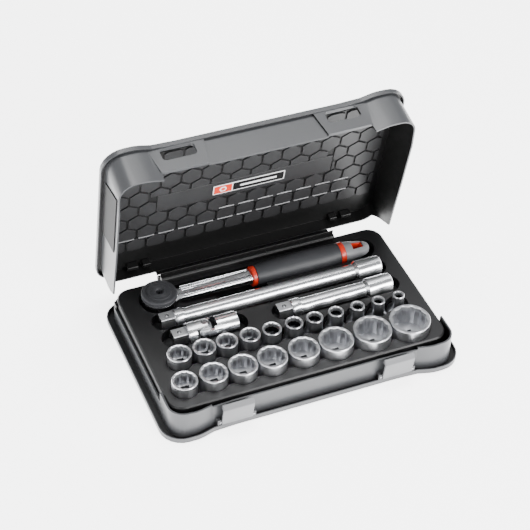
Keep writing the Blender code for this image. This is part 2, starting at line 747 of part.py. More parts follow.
def build():
    clear_scene()
    grey = material("case_plastic", (0.33, 0.33, 0.34), 0.55)
    dark = material("tray_plastic", (0.045, 0.045, 0.05), 0.6)
    black = material("hinge_plastic", (0.015, 0.015, 0.017), 0.5)
    chrome = material("chrome", (0.75, 0.75, 0.77), 0.14, 1.0)
    steel = material("steel", (0.5, 0.5, 0.52), 0.35, 1.0)
    rubber = material("grip_rubber", (0.08, 0.08, 0.085), 0.65)
    red = material("red_plastic", (0.75, 0.03, 0.02), 0.4)
    cap_grey = material("cap_plastic", (0.28, 0.29, 0.3), 0.45)
    label = material("label", (0.02, 0.02, 0.022), 0.35)

    part("base_shell", make_base_shell(), grey)
    part("tool_tray", make_tray(), dark)
    part("hinge_leaf_base", make_hinge_leaf(KNUCKLES[0::2], 8.0, 20.3, 19.5, 24.5), black)
    part("hinge_rod", turned([(-101.0, 2.0), (101.0, 2.0)], 12, "X", (0, HINGE_Y, HINGE_Z)), steel)
    lid = empty("lid_axis", (0, HINGE_Y, HINGE_Z), -LID_OPEN)
    part("lid_shell", make_lid_shell(), grey, lid)
    part("lid_pad", make_lid_pad(), dark, lid)
    part("lid_badge", make_badge(), label, lid)
    part("hinge_leaf_lid", make_hinge_leaf(KNUCKLES[1::2], 31.1, 43.0, 28.0, 32.0), black, lid)
    for side, word in ((-1, "left"), (1, "right")):
        part("side_plate_" + word, make_side_plate(side), label, lid)
        part("corner_buffer_" + word, make_corner_buffer(side), black)
        x = side * LATCH_X
        pin = turned([(x - 19.0, 1.2), (x + 19.0, 1.2)], 10, "X", (0, LATCH_PIVOT_Y, LATCH_PIVOT_Z))
        part("latch_pin_" + word, pin, steel)
        axis = empty("latch_axis_" + word, (x, LATCH_PIVOT_Y, LATCH_PIVOT_Z), LATCH_LEAN)
        part("latch_" + word, make_latch(x), grey, axis)

    ratchet = empty("ratchet_axis", (RATCHET_X, RATCHET_Y, HEAD_LOW))
    part("ratchet_body", make_ratchet_body(), chrome, ratchet)
    part("ratchet_gear", make_ratchet_gear(), steel, ratchet)
    part("ratchet_pawl", make_ratchet_pawl(), steel, ratchet)
    part("ratchet_dial", make_ratchet_dial(), cap_grey, ratchet)
    part("dial_screw", make_dial_screw(), steel, ratchet)
    ball = make_ball(0, 0, 0)
    in_drive = Matrix.Translation((RATCHET_X + SQUARE / 2 - 1.0, RATCHET_Y, 12.5))
    ball.transform(in_drive @ Matrix.Rotation(math.pi / 2, 4, "Y"))
    part("drive_ball", ball, steel, ratchet)
    part("ratchet_grip", make_grip(), rubber, ratchet)
    part("grip_ring_front", make_ring(-8.0 + GAP, GRIP_START - GAP, 11.2), red, ratchet)
    part("grip_ring_rear", make_ring(GRIP_END + GAP, 100.0, 12.9), red, ratchet)
    part("grip_end_cap", make_end_cap(), cap_grey, ratchet)
    part("hanging_hole_liner", make_hole_liner(), red, ratchet)

    for word, x0, length, y in (("long", -122.0, 250.0, LONG_BAR_Y), ("short", -2.6, 130.0, SHORT_BAR_Y)):
        axis = empty("extension_axis_" + word, (x0 + length / 2, y, BAR_Z))
        part("extension_" + word, make_extension(x0, length, y), chrome, axis)
        part("extension_ball_" + word, make_ball(x0 + 7.5, y, BAR_Z + SQUARE / 2 - 1.2), steel, axis)

    joint = empty("joint_axis", (JOINT_X, JOINT_Y, JOINT_Z))
    part("joint_drive_fork", make_drive_fork(), chrome, joint)
    part("joint_ball", make_ball(JOINT_X - 27.0, JOINT_Y, JOINT_Z + SQUARE / 2 - 1.2), steel, joint)
    part("joint_pin_upright", make_upright_pin(), steel, joint)
    part("joint_cross", make_cross(), steel, joint)
    part("joint_socket_fork", make_socket_fork(), chrome, joint)
    part("joint_pin_left", make_level_pin(1), steel, joint)
    part("joint_pin_right", make_level_pin(-1), steel, joint)

    for row_y, row in ((BACK_ROW_Y, BACK_ROW), (FRONT_ROW_Y, FRONT_ROW)):
        for size, (width, x) in row.items():
            seat = empty(f"seat_{size:02d}", (x, row_y, TOOL_TOP - socket_length(size)))
            bm = make_socket(size, width)
            bm.transform(Matrix.Translation(seat.location / MM))
            part(f"socket_{size:02d}", bm, chrome, seat)


build()
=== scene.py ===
# %% [markdown]
# # A half-inch socket set in its moulded case
#
# The solid parts come ready made, with their sizes and joints. This lesson dresses them: each
# surface gets a material that starts from what the real one is made of, and the small shapes that
# catch the light, such as the tiles in the lid and the knurled dial, are built as real geometry.

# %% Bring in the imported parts
import json
import math

import bmesh
import bpy
from mathutils import Matrix, Vector


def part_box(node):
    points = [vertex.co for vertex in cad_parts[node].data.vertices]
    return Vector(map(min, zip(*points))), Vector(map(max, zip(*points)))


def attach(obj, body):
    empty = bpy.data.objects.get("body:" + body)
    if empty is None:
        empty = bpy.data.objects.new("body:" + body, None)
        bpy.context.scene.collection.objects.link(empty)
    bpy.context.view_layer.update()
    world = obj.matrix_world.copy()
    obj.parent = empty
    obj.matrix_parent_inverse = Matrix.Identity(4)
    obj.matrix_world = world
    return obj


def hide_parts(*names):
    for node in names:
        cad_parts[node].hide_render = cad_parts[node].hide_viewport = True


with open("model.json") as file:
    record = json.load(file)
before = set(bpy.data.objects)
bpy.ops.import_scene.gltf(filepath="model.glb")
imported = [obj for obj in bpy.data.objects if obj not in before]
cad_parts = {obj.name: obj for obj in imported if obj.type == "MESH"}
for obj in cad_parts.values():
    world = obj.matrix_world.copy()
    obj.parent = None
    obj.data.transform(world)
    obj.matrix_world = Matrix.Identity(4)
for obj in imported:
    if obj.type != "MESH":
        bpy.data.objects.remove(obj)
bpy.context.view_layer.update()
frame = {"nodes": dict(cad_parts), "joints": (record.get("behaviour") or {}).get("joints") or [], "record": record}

nodes = frame["nodes"]

# %% [markdown]
# Everything is drawn in millimetres, because a maker would measure it so, and turned to metres in
# one place. Pieces of the lid are easiest to draw with the lid shut and flat. One matrix then turns
# them open about the hinge, by the angle that the hinge joint needs to shut again.

# %% Units and the two ways of drawing
MM = 0.001
hinge = next(joint for joint in frame["joints"] if joint["name"] == "lid_hinge")
hinge_point = Vector(hinge["pos_m"])
lid_angle = math.radians(hinge["range_deg"][0])
IN_CASE = Matrix.Identity(4)
TO_HINGE = Matrix.Translation(hinge_point)
FROM_HINGE = Matrix.Translation(-hinge_point)
IN_SHUT_LID = TO_HINGE @ Matrix.Rotation(lid_angle, 4, "X") @ FROM_HINGE
print("the lid is drawn shut and opened by", round(-math.degrees(lid_angle), 1), "degrees")

# %% [markdown]
# A colour picker shows sRGB values, while a shader works in linear light. One function does the
# change for every colour. A second adds a node with its settings and links, and a third turns a
# size in millimetres to a texture scale: a noise of scale 100 repeats about every 10 mm.


# %% Helpers for materials
def linear(hex_colour):
    """An sRGB colour such as #808080 as linear red, green, blue and an alpha of 1."""
    values = [int(hex_colour[i : i + 2], 16) / 255 for i in (1, 3, 5)]
    return [v / 12.92 if v <= 0.04045 else ((v + 0.055) / 1.055) ** 2.4 for v in values] + [1.0]


def add_node(tree, kind, settings=(), links=()):
    """Adds a node. Settings are properties or input values by name, and links go to inputs."""
    node = tree.nodes.new(kind)
    for name, value in dict(settings).items():
        if hasattr(node, name):
            setattr(node, name, value)
        else:
            node.inputs[name].default_value = value
    for name, output in dict(links).items():
        tree.links.new(output, node.inputs[name])
    return node


def every_mm(size):
    """The texture scale whose pattern repeats about every so many millimetres."""
    return 1000.0 / size


def surface(name, colour, roughness, metallic=0.0, **extra):
    """A new material with its constant values on the shader's own sockets."""
    made = bpy.data.materials.new(name)
    made.use_nodes = True
    shader = made.node_tree.nodes["Principled BSDF"]
    values = {"Base Color": linear(colour), "Roughness": roughness, "Metallic": metallic, **extra}
    for socket, value in values.items():
        shader.inputs[socket].default_value = value
    return made, made.node_tree, shader


print("every_mm(10) =", every_mm(10))

# %% [markdown]
# ## Moulded polypropylene
#
# The two shells are injection-moulded polypropylene. The mould is spark-eroded, which leaves a fine
# pebbled grain: the eye sees a soft, wide highlight and no sharp reflection. The real grain is
# about 0.3 mm, too fine to show at this distance, so it is drawn at 1.1 mm. A slow change of tone,
# some 60 mm across, stands for the uneven look of a large moulding. The same recipe serves the
# latches, made lighter as painted light, the charcoal tray, the black hinge and the black painted
# shade, the liner's tiles and its ribs, pale as a painted highlight, with other colours.


# %% Polypropylene with a moulded grain
TONE_MM = 60
GRAIN_STRENGTH = 0.35
MIX_COLOUR_A, MIX_COLOUR_B, MIX_RESULT = 6, 7, 2


def moulded(name, colour, darker, roughness, grain_mm, depth_mm):
    made, tree, shader = surface(name, colour, roughness, IOR=1.49)
    place = add_node(tree, "ShaderNodeTexCoord")
    slow = add_node(
        tree,
        "ShaderNodeTexNoise",
        {"Scale": every_mm(TONE_MM), "Detail": 2.0},
        {"Vector": place.outputs["Object"]},
    )
    tone = add_node(
        tree,
        "ShaderNodeMix",
        {"data_type": "RGBA"},
        {"Factor": slow.outputs["Fac"]},
    )
    tone.inputs[MIX_COLOUR_A].default_value = linear(darker)
    tone.inputs[MIX_COLOUR_B].default_value = linear(colour)
    tree.links.new(tone.outputs[MIX_RESULT], shader.inputs["Base Color"])
    grain = add_node(
        tree,
        "ShaderNodeTexNoise",
        {"Scale": every_mm(grain_mm), "Detail": 1.0},
        {"Vector": place.outputs["Object"]},
    )
    relief = add_node(
        tree,
        "ShaderNodeBump",
        {"Strength": GRAIN_STRENGTH, "Distance": depth_mm * MM},
        {"Height": grain.outputs["Fac"]},
    )
    tree.links.new(relief.outputs["Normal"], shader.inputs["Normal"])
    return made


grey_pp = moulded("grey_polypropylene_moulded", "#4B4C4E", "#454648", 0.33, 1.1, 0.04)
# The latches are the case's grey made lighter: painted light on the latches.
painted_light_latch_pp = moulded("grey_polypropylene_latches_painted_light", "#6C6D6F", "#656668", 0.34, 1.1, 0.03)
charcoal_pp = moulded("charcoal_polypropylene_moulded", "#212122", "#1D1D1E", 0.42, 1.1, 0.04)
# Black serves the hinge, the rail and the corner blocks, and also stands as painted shade in gaps and grooves.
black_pp = moulded("black_polypropylene_moulded", "#0D0D0D", "#0B0B0B", 0.45, 1.1, 0.04)
pad_pp = moulded("tile_polypropylene_moulded", "#2C2C2D", "#272728", 0.38, 1.1, 0.04)
# The pale ribs are a painted highlight along the liner's crease.
rib_painted_highlight_pp = moulded("pale_rib_painted_highlight", "#9A9A9C", "#8B8B8D", 0.28, 1.1, 0.02)
for plastic in (grey_pp, painted_light_latch_pp, charcoal_pp, black_pp, pad_pp, rib_painted_highlight_pp):
    print("plastic:", plastic.name)

# %% [markdown]
# ## Chrome-plated tool steel
#
# The tools are forged chrome-vanadium steel, polished, nickelled and chromed. Chrome is a bright
# metal with a slight blue cast. Tumbling leaves the polished outsides a little soft, so their
# roughness starts near 0.2, and the sockets' is higher still. The broached teeth are only plated,
# not polished, and look pale and satin. Deeper down, the bores are darker as painted shade: a dark
# steel colour in a small socket, and a slightly darker chrome in a large one.


# %% Chrome and steel
def plated(name, colour, smooth, rough, patch_mm):
    """A metal whose roughness wanders between two values in patches of that size."""
    made, tree, shader = surface(name, colour, smooth, 1.0)
    place = add_node(tree, "ShaderNodeTexCoord")
    patches = add_node(
        tree,
        "ShaderNodeTexNoise",
        {"Scale": every_mm(patch_mm), "Detail": 3.0},
        {"Vector": place.outputs["Object"]},
    )
    spread = add_node(
        tree,
        "ShaderNodeMapRange",
        {"To Min": smooth, "To Max": rough},
        {"Value": patches.outputs["Fac"]},
    )
    tree.links.new(spread.outputs["Result"], shader.inputs["Roughness"])
    return made


polished_chrome = plated("chrome_plate_polished", "#F0F1F3", 0.18, 0.23, 14)
socket_chrome = plated("chrome_plate_sockets", "#D4D5D8", 0.26, 0.33, 9)
satin_chrome = plated("chrome_plate_satin", "#D9DADC", 0.34, 0.44, 5)
# The bore chrome is darker than the teeth: painted shade deep in a large socket.
bore_chrome = plated("chrome_bore_painted_shade", "#CFD0D3", 0.26, 0.36, 5)
bare_steel = plated("carbon_steel_turned", "#9C9C9F", 0.28, 0.38, 4)
# Dark steel serves the dial screw and, as painted shade, the bores of small sockets.
dark_steel = plated("dark_steel_and_bore_shade", "#5A5A5D", 0.32, 0.42, 4)
for metal in (
    polished_chrome,
    socket_chrome,
    satin_chrome,
    bore_chrome,
    bare_steel,
    dark_steel,
):
    print("metal:", metal.name)

# %% [markdown]
# ## Grip, trim and print
#
# The handle is a soft elastomer moulded over the steel, which scatters light and hardly shines.
# The rings and the lining of the hanging hole are glossy red ABS, the end cap is grey ABS and the
# dial a darker one. The badge and the plates on the lid's ends carry no name here: they are plain
# printed panels.

# %% Elastomer, ABS and printed film
soft_grip = moulded("thermoplastic_elastomer_grip", "#3D3E41", "#36373A", 0.50, 0.9, 0.05)
dial_abs = moulded("charcoal_abs_moulded", "#444548", "#3E3F42", 0.40, 0.9, 0.03)
cap_abs = moulded("grey_abs_moulded", "#8B8C8F", "#838487", 0.36, 1.0, 0.03)
red_abs = surface("red_abs_moulded", "#E3331B", 0.34, IOR=1.53)[0]
white_film = surface("white_printed_film", "#EDEDED", 0.35)[0]
black_film = surface("black_printed_film", "#070708", 0.6, IOR=1.35)[0]
red_film = surface("red_printed_film", "#D8361F", 0.35)[0]
print("materials so far:", len(bpy.data.materials))

# %% [markdown]
# ## Dressing the solid parts
#
# Each part already knows its material slot in the record, so one table from slot to material
# dresses them all. Parts whose finish differs from the slot's usual one follow in a second table.

# %% Give every part its material
finish_of_slot = {
    "case": grey_pp,
    "tray": charcoal_pp,
    "hinge": black_pp,
    "chrome": polished_chrome,
    "steel": bare_steel,
    "grip": soft_grip,
    "red": red_abs,
    "cap": cap_abs,
    "label": black_film,
}
finish_of_part = {
    "ratchet_dial": dial_abs,
    "lid_badge": white_film,
    "dial_screw": dark_steel,
    "latch_left": painted_light_latch_pp,
    "latch_right": painted_light_latch_pp,
}
slot_of = {entry["node"]: entry["material_slot"] for entry in frame["record"]["subparts"]}
for name, part in nodes.items():
    part.data.materials.clear()
    part.data.materials.append(finish_of_part.get(name, finish_of_slot[slot_of[name]]))
print("dressed", len(nodes), "parts")

# %% [markdown]
# A moulded or machined edge is never razor sharp, and its small radius draws the bright line that
# makes a shape readable. The Bevel modifier rounds only edges sharper than a set angle. The parts
# arrive as loose triangles, so a Weld modifier joins their corners first. Last, the Weighted Normal
# modifier keeps the shading of large flat faces flat, next to the narrow faces of the bevels.

# %% Round the edges of the parts
WELD_REACH = 0.00001
CHROME_RADIUS_MM, CHROME_SHARPER_THAN = 0.4, 35.0
USUAL_RADIUS_MM = 0.25
edge_radius_mm = {
    "base_shell": 0.5,
    "lid_shell": 0.5,
    "tool_tray": 0.8,
    "latch_left": 0.5,
    "latch_right": 0.5,
}


def soften(part, radius_mm, sharper_than=32.0, steps=2):
    """Rounds the edges between faces that meet at more than that many degrees."""
    weld = part.modifiers.new("join corners", "WELD")
    weld.merge_threshold = WELD_REACH
    bevel = part.modifiers.new("edge radius", "BEVEL")
    bevel.width = radius_mm * MM
    bevel.segments = steps
    bevel.limit_method = "ANGLE"
    bevel.angle_limit = math.radians(sharper_than)
    bevel.use_clamp_overlap = True
    bevel.harden_normals = True
    part.data.shade_smooth()
    part.data.set_sharp_from_angle(angle=math.radians(sharper_than))
    flat = part.modifiers.new("keep large faces flat", "WEIGHTED_NORMAL")
    flat.keep_sharp = True


for name, part in nodes.items():
    if slot_of[name] == "chrome":
        soften(part, CHROME_RADIUS_MM, CHROME_SHARPER_THAN)
    else:
        soften(part, edge_radius_mm.get(name, USUAL_RADIUS_MM))
print("rounded", len(nodes), "parts")

# %% [markdown]
# The shells are grey outside, and black where the wall faces the tools: painted shade in the narrow
# gaps by the tray and round the liner. The lid's ceiling and the grooves behind the lips are black
# too, also as painted shade. A face belongs to the inside if its normal points back at the middle of
# the case. In the same way the faces of the two bars and of the joint's drive fork that look straight
# up, down, forwards or back get the satin chrome, which shows their flats.

# %% Paint shade black on the inward faces and grooves
POINTS_INWARD = -20.0
MOSTLY_LEVEL, MOSTLY_UPRIGHT, SQUARE_ON = 0.5, 0.5, 0.9
BASE_FLOOR_MM, LID_CEILING_MM = 3.0, 45.0


def second_finish(part, material, chosen, undo=IN_CASE):
    """Gives a second material to the faces that chosen(centre, normal) picks.

    Undo is the matrix that placed the part, so that the lid can be judged as when shut.
    """
    back = undo.inverted()
    part.data.materials.append(material)
    index = len(part.data.materials) - 1
    count = 0
    for face in part.data.polygons:
        if chosen(back @ face.center / MM, back.to_3x3() @ face.normal):
            face.material_index = index
            count += 1
    print(part.name, "has", count, "faces in", material.name)


def faces_middle(centre, normal):
    inward = normal.x * centre.x + normal.y * centre.y < POINTS_INWARD
    return inward and abs(normal.z) < MOSTLY_LEVEL


def base_painted_shade(centre, normal):
    shaded_groove_or_floor = normal.z > MOSTLY_UPRIGHT and centre.z < BASE_FLOOR_MM
    return faces_middle(centre, normal) or shaded_groove_or_floor


def lid_painted_shade(centre, normal):
    shaded_ceiling_or_groove = normal.z < -MOSTLY_UPRIGHT and centre.z > LID_CEILING_MM
    return faces_middle(centre, normal) or shaded_ceiling_or_groove


def flat_face(centre, normal):
    return abs(normal.z) > SQUARE_ON or abs(normal.y) > SQUARE_ON


for name in ("extension_long", "extension_short", "joint_drive_fork"):
    second_finish(nodes[name], satin_chrome, flat_face)
# The black on the shells is painted shade.
second_finish(nodes["base_shell"], black_pp, base_painted_shade)
second_finish(nodes["lid_shell"], black_pp, lid_painted_shade, IN_SHUT_LID)

# %% [markdown]
# ## Drawing new pieces
#
# Most added pieces are outlines pushed to a thickness, or profiles turned about an axis. These few
# helpers make them, put them in place, round their edges and tie them to the body they move with.


# %% Helpers for shapes
def prism(outline, low, high, axis="Z"):
    """An outline in the next two axes pushed from low to high along this one, in millimetres."""
    order = {"X": (2, 0, 1), "Y": (1, 2, 0), "Z": (0, 1, 2)}[axis]
    bm = bmesh.new()
    rings = []
    for along in (low, high):
        ring = []
        for a, b in outline:
            values = (a, b, along)
            ring.append(bm.verts.new([values[i] for i in order]))
        rings.append(ring)
    bm.faces.new(list(reversed(rings[0])))
    bm.faces.new(rings[1])
    for i in range(len(outline)):
        j = (i + 1) % len(outline)
        bm.faces.new((rings[0][i], rings[0][j], rings[1][j], rings[1][i]))
    bmesh.ops.recalc_face_normals(bm, faces=bm.faces)
    return bm


def box(low, high):
    outline = [(low[0], low[1]), (high[0], low[1]), (high[0], high[1]), (low[0], high[1])]
    return prism(outline, low[2], high[2])


def rounded(x0, y0, x1, y1, radius, steps=4):
    points = []
    for cx, cy, start in (
        (x1 - radius, y1 - radius, 0),
        (x0 + radius, y1 - radius, 90),
        (x0 + radius, y0 + radius, 180),
        (x1 - radius, y0 + radius, 270),
    ):
        for i in range(steps + 1):
            angle = math.radians(start + 90 * i / steps)
            points.append((cx + radius * math.cos(angle), cy + radius * math.sin(angle)))
    return points


def ring_of(profile, count, middle):
    """A closed ring turned about a vertical axis.

    The profile is (radius, height) pairs in order round its section. A radius can also be a
    function of the side's number.
    """
    bm = bmesh.new()
    rows = []
    for radius, height in profile:
        row = []
        for i in range(count):
            angle = 2 * math.pi * i / count
            reach = radius(i) if callable(radius) else radius
            x = middle[0] + reach * math.cos(angle)
            y = middle[1] + reach * math.sin(angle)
            row.append(bm.verts.new((x, y, height)))
        rows.append(row)
    for row, after in zip(rows, rows[1:] + rows[:1]):
        for i in range(count):
            j = (i + 1) % count
            bm.faces.new((row[i], row[j], after[j], after[i]))
    bmesh.ops.recalc_face_normals(bm, faces=bm.faces)
    return bm


def merged(parts):
    """Several meshes as one."""
    whole = bmesh.new()
    for bm in parts:
        mesh = bpy.data.meshes.new("part")
        bm.to_mesh(mesh)
        bm.free()
        whole.from_mesh(mesh)
        bpy.data.meshes.remove(mesh)
    return whole


def piece(name, bm, material, body, placed=IN_CASE, radius_mm=0.2, steps=2):
    """Makes the object in metres, rounds its edges and ties it to the body that carries it."""
    bm.transform(placed @ Matrix.Scale(MM, 4))
    mesh = bpy.data.meshes.new(name)
    bm.to_mesh(mesh)
    bm.free()
    made = bpy.data.objects.new(name, mesh)
    bpy.context.scene.collection.objects.link(made)
    mesh.materials.append(material)
    if radius_mm:
        soften(made, radius_mm, 30.0, steps)
    else:
        mesh.shade_smooth()
        mesh.set_sharp_from_angle(angle=math.radians(30))
    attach(made, body)
    print(name, "rides on", body, "with", len(mesh.polygons), "faces")
    return made


# %% [markdown]
# ## Turned and broached sockets
#
# The solid sockets have few sides, enough for their size and fit. The eye sees a socket's round
# rim first, so each is turned again with many sides, on the circle through its solid's corners: a
# body with a rolled rim, and a nut end broached to twelve points. Small sockets step down to a
# thinner nut end. The outline is one closed section carried round the axis, and only the broached
# parts have a radius that changes. Pairs of rows close together hold the shading at each corner,
# which keeps stray reflections off the straight walls.

# %% The section of a socket
SIDES = 96
DRIVE_HALF = 6.45
LARGE_SOCKET = 15
POINT_EVERY = 30
POINT_BLUNTED = 1.135


def twelve_point(across_flats):
    """The radius at each of the sides for two hexagons laid over each other."""
    flat = across_flats / 2

    def radius(i):
        half_way = POINT_EVERY / 2
        from_point = abs((i * 360 / SIDES + half_way) % POINT_EVERY - half_way)
        sharp = flat / math.cos(math.radians(POINT_EVERY - from_point))
        return min(sharp, flat * POINT_BLUNTED)

    return radius


def square_hole(half):
    """The radius at each of the sides for a square of that half width."""

    def radius(i):
        angle = math.radians(i * 360 / SIDES)
        return half / max(abs(math.cos(angle)), abs(math.sin(angle)))

    return radius


def socket_section(size, length, nut_end, drive_end):
    """One socket's section as (radius, height) pairs, in three lists.

    They run from the drive end up the outside and over the rim, then along the teeth, then down
    the bore to the drive square.
    """
    nut_bore = min(0.62 * size + 3.5, length - 17.0)
    star = twelve_point(size + 0.2)
    square = square_hole(0.4 * size if size < LARGE_SOCKET else DRIVE_HALF)
    outside = [
        (drive_end - 0.8, 0.0),
        (drive_end - 0.25, 0.2),
        (drive_end, 0.9),
        (drive_end, 1.1),
    ]
    if drive_end - nut_end > 0.5:
        step = 15.0 + (drive_end - nut_end) * 1.2
        outside += [
            (drive_end, 14.4),
            (drive_end, 14.6),
            (drive_end - 0.2, 15.2),
            (nut_end + 0.2, step - 0.4),
            (nut_end, step + 0.4),
            (nut_end, step + 0.6),
        ]
    lip = max(size * 0.62, nut_end - 1.3)
    rim = [
        (nut_end, length - 1.5),
        (nut_end, length - 1.3),
        (nut_end - 0.15, length - 0.6),
        (nut_end - 0.6, length - 0.08),
        (lip, length - 0.02),
        (lambda i: min(lip, star(i) + 0.35), length - 0.4),
    ]
    teeth = [(star, length - 1.2), (star, length - 5.5)]
    inside = [
        (star, length - nut_bore),
        (square, length - nut_bore - 0.6),
        (square, 0.3),
        (lambda i: square(i) + 0.3, 0.0),
    ]
    return outside + rim, teeth, inside


print("a socket is turned with", SIDES, "sides")

# %% [markdown]
# Each socket's place, length and drive end are measured on its solid. Only the nut ends of the
# small sockets are given here, since they are thinner than the drive end. The faces are made row by
# row along the section, so counting them tells which belong to the outside, the teeth and the bore.

# %% Turn all the sockets
SOLID_SIDES = 24
SKIN = 0.02
thin_nut_end = {
    8: 6.4,
    9: 7.05,
    10: 7.7,
    11: 8.35,
    12: 9.0,
    13: 9.65,
    14: 10.3,
    15: 10.9,
}
for name in sorted(n for n in nodes if n.startswith("socket_")):
    size = int(name[-2:])
    low, high = (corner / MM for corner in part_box(name))
    middle = ((low.x + high.x) / 2, (low.y + high.y) / 2)
    drive_end = (high.x - low.x) / 2 / math.cos(math.pi / SOLID_SIDES)
    nut_end = thin_nut_end.get(size, drive_end)
    outer, teeth, inner = socket_section(size, high.z - low.z, nut_end, drive_end - SKIN)
    section = [(radius, height + low.z) for radius, height in outer + teeth + inner]
    turned = ring_of(section, SIDES, middle)
    body = "wrench_" + name
    made = piece("turned_" + name, turned, socket_chrome, body, IN_CASE, 0)
    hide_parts(name)
    made.data.materials.append(satin_chrome)
    # The bores are darker than the teeth: painted shade deep in the socket.
    made.data.materials.append(dark_steel if size < LARGE_SOCKET else bore_chrome)
    first_tooth = (len(outer) - 1) * SIDES
    first_inner = (len(outer) + 1) * SIDES
    for face in made.data.polygons:
        face.material_index = (face.index >= first_tooth) + (face.index >= first_inner)

# %% [markdown]
# ## The tiled liner
#
# The liner under the lid is one moulding covered in hexagonal tiles, like paving, with grooves
# between them and a plain strip for the badge. Each tile is a hexagon 22 mm across, drawn 2.6 mm
# smaller to leave the groove. Where a tile meets the liner's edge or the strip, it is cut straight.

# %% Cut and lay the tiles
TILE_ACROSS = 22.0
GROOVE = 2.6
LINER_TOP = 47.2
LINER_BACK = 46.8
TILE_FACE = 45.3
SUNK = 0.1
STRIP = (-101.0, -20.0, 94.0, 5.0)
STRIP_MARGIN = 1.0
LINER = (-149.0, -87.0, 149.0, 62.0)
BACKING = (-150.0, -88.0, 150.0, 63.0)
FIELD_SHIFT = -3.0
SMALLEST_TILE = 12


def clipped(outline, axis, limit, keep_above):
    """The part of an outline on one side of a straight line across an axis."""
    sign = 1 if keep_above else -1
    kept = []
    for i, here in enumerate(outline):
        before = outline[i - 1]
        in_here = sign * (here[axis] - limit) >= 0
        in_before = sign * (before[axis] - limit) >= 0
        if in_here != in_before:
            share = (limit - before[axis]) / (here[axis] - before[axis])
            kept.append(tuple(b + share * (h - b) for b, h in zip(before, here)))
        if in_here:
            kept.append(here)
    return kept


def area(outline):
    """The area inside an outline, in square millimetres."""
    pairs = zip(outline, outline[1:] + outline[:1])
    return abs(sum(a[0] * b[1] - b[0] * a[1] for a, b in pairs)) / 2


def tile_outline(cx, cy):
    """A tile cut to the liner and clear of the strip, or nothing if what is left is too small."""
    reach = (TILE_ACROSS - GROOVE) / math.sqrt(3)
    corners = [math.radians(60 * i + 30) for i in range(6)]
    outline = [(cx + reach * math.cos(a), cy + reach * math.sin(a)) for a in corners]
    x0, y0, x1, y1 = LINER
    for axis, limit, above in ((0, x0, True), (0, x1, False), (1, y0, True), (1, y1, False)):
        outline = clipped(outline, axis, limit, above)
    if not outline:
        return []
    inside = clipped(clipped(outline, 0, STRIP[0], True), 0, STRIP[2], False)
    inside = clipped(clipped(inside, 1, STRIP[1], True), 1, STRIP[3], False) if inside else []
    if inside and area(inside) > 0.5:
        sides = (
            (0, STRIP[0] - STRIP_MARGIN, False),
            (0, STRIP[2] + STRIP_MARGIN, True),
            (1, STRIP[1] - STRIP_MARGIN, False),
            (1, STRIP[3] + STRIP_MARGIN, True),
        )
        cuts = [clipped(outline, *side) for side in sides]
        outline = max(cuts, key=lambda cut: area(cut) if len(cut) > 2 else 0)
    return outline if len(outline) > 2 and area(outline) > SMALLEST_TILE else []


tiles = []
row_step = TILE_ACROSS * math.sqrt(3) / 2
for row in range(-5, 5):
    for column in range(-8, 9):
        across = (column + 0.5 * (row % 2)) * TILE_ACROSS
        outline = tile_outline(across, row * row_step + FIELD_SHIFT)
        if outline:
            tiles.append(prism(outline, TILE_FACE, LINER_BACK + SUNK))
# The backing is black: painted shade at the floors of the grooves between the tiles.
backing = prism(rounded(*BACKING, 14.0), LINER_BACK, LINER_TOP)
piece("liner_backing", backing, black_pp, "lid", IN_SHUT_LID, 0)
tile_field = piece("liner_tiles", merged(tiles), pad_pp, "lid", IN_SHUT_LID, 0.45)
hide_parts("lid_pad")
strip = prism(rounded(*STRIP, 1.0), TILE_FACE + 0.05, LINER_BACK + SUNK)
piece("liner_strip", strip, pad_pp, "lid", IN_SHUT_LID, 0.3)
print("laid", len(tiles), "tiles")

# %% [markdown]
# Two straight ribs cross the tiles nearer the hinge, where the liner is stiffened. Their pale colour
# is a painted highlight, the long broken lines of light along the liner's crease, so each is a row of
# short bars with slanted sides, one to a tile's width.

# %% Ribs across the liner
RIB_FACE, RIB_ROOT = 44.85, 46.0
RIB_HALF, RIB_ROOT_HALF = 0.45, 0.8
RIB_GAP = 2.4
rib_half_length = TILE_ACROSS / 2 - RIB_GAP
ribs = []
for y, first, last in ((43.0, -6, 5), (24.3, -1, 5)):
    section = [
        (y - RIB_HALF, RIB_FACE),
        (y + RIB_HALF, RIB_FACE),
        (y + RIB_ROOT_HALF, RIB_ROOT),
        (y - RIB_ROOT_HALF, RIB_ROOT),
    ]
    for place in range(first, last + 1):
        middle = place * TILE_ACROSS
        ribs.append(prism(section, middle - rib_half_length, middle + rib_half_length, "X"))
piece("liner_ribs", merged(ribs), rib_painted_highlight_pp, "lid", IN_SHUT_LID, 0.3)
print("bars in the ribs:", len(ribs))

# %% [markdown]
# At each end of the hinge two small blocks stand on the lid and close the corner. They are plain
# boxes, set back so that they clear the dial and the grip's end cap when the lid shuts.

# %% Blocks in the corners by the hinge
BLOCK_Y = (85.5, 90.5)
BLOCK_Z = (39.5, 47.2)
blocks = []
for side in (-1, 1):
    for near, far in ((104.0, 113.0), (118.0, 130.0)):
        low, high = sorted((side * near, side * far))
        blocks.append(box((low, BLOCK_Y[0], BLOCK_Z[0]), (high, BLOCK_Y[1], BLOCK_Z[1])))
piece("liner_corner_blocks", merged(blocks), black_pp, "lid", IN_SHUT_LID, 0.8)

# %% [markdown]
# The badge is a printed film: a white border round a red field and a black one. In place of any
# name, the red field has a plain nut in outline and the black field a plain bar.

# %% The badge, without a name
BADGE_FACE = 44.82
film = (BADGE_FACE - 0.12, BADGE_FACE)
mark = (BADGE_FACE - 0.2, BADGE_FACE - 0.1)


def hexagon(cx, cy, reach):
    corners = [math.radians(60 * i) for i in range(6)]
    return [(cx + reach * math.cos(a), cy + reach * math.sin(a)) for a in corners]


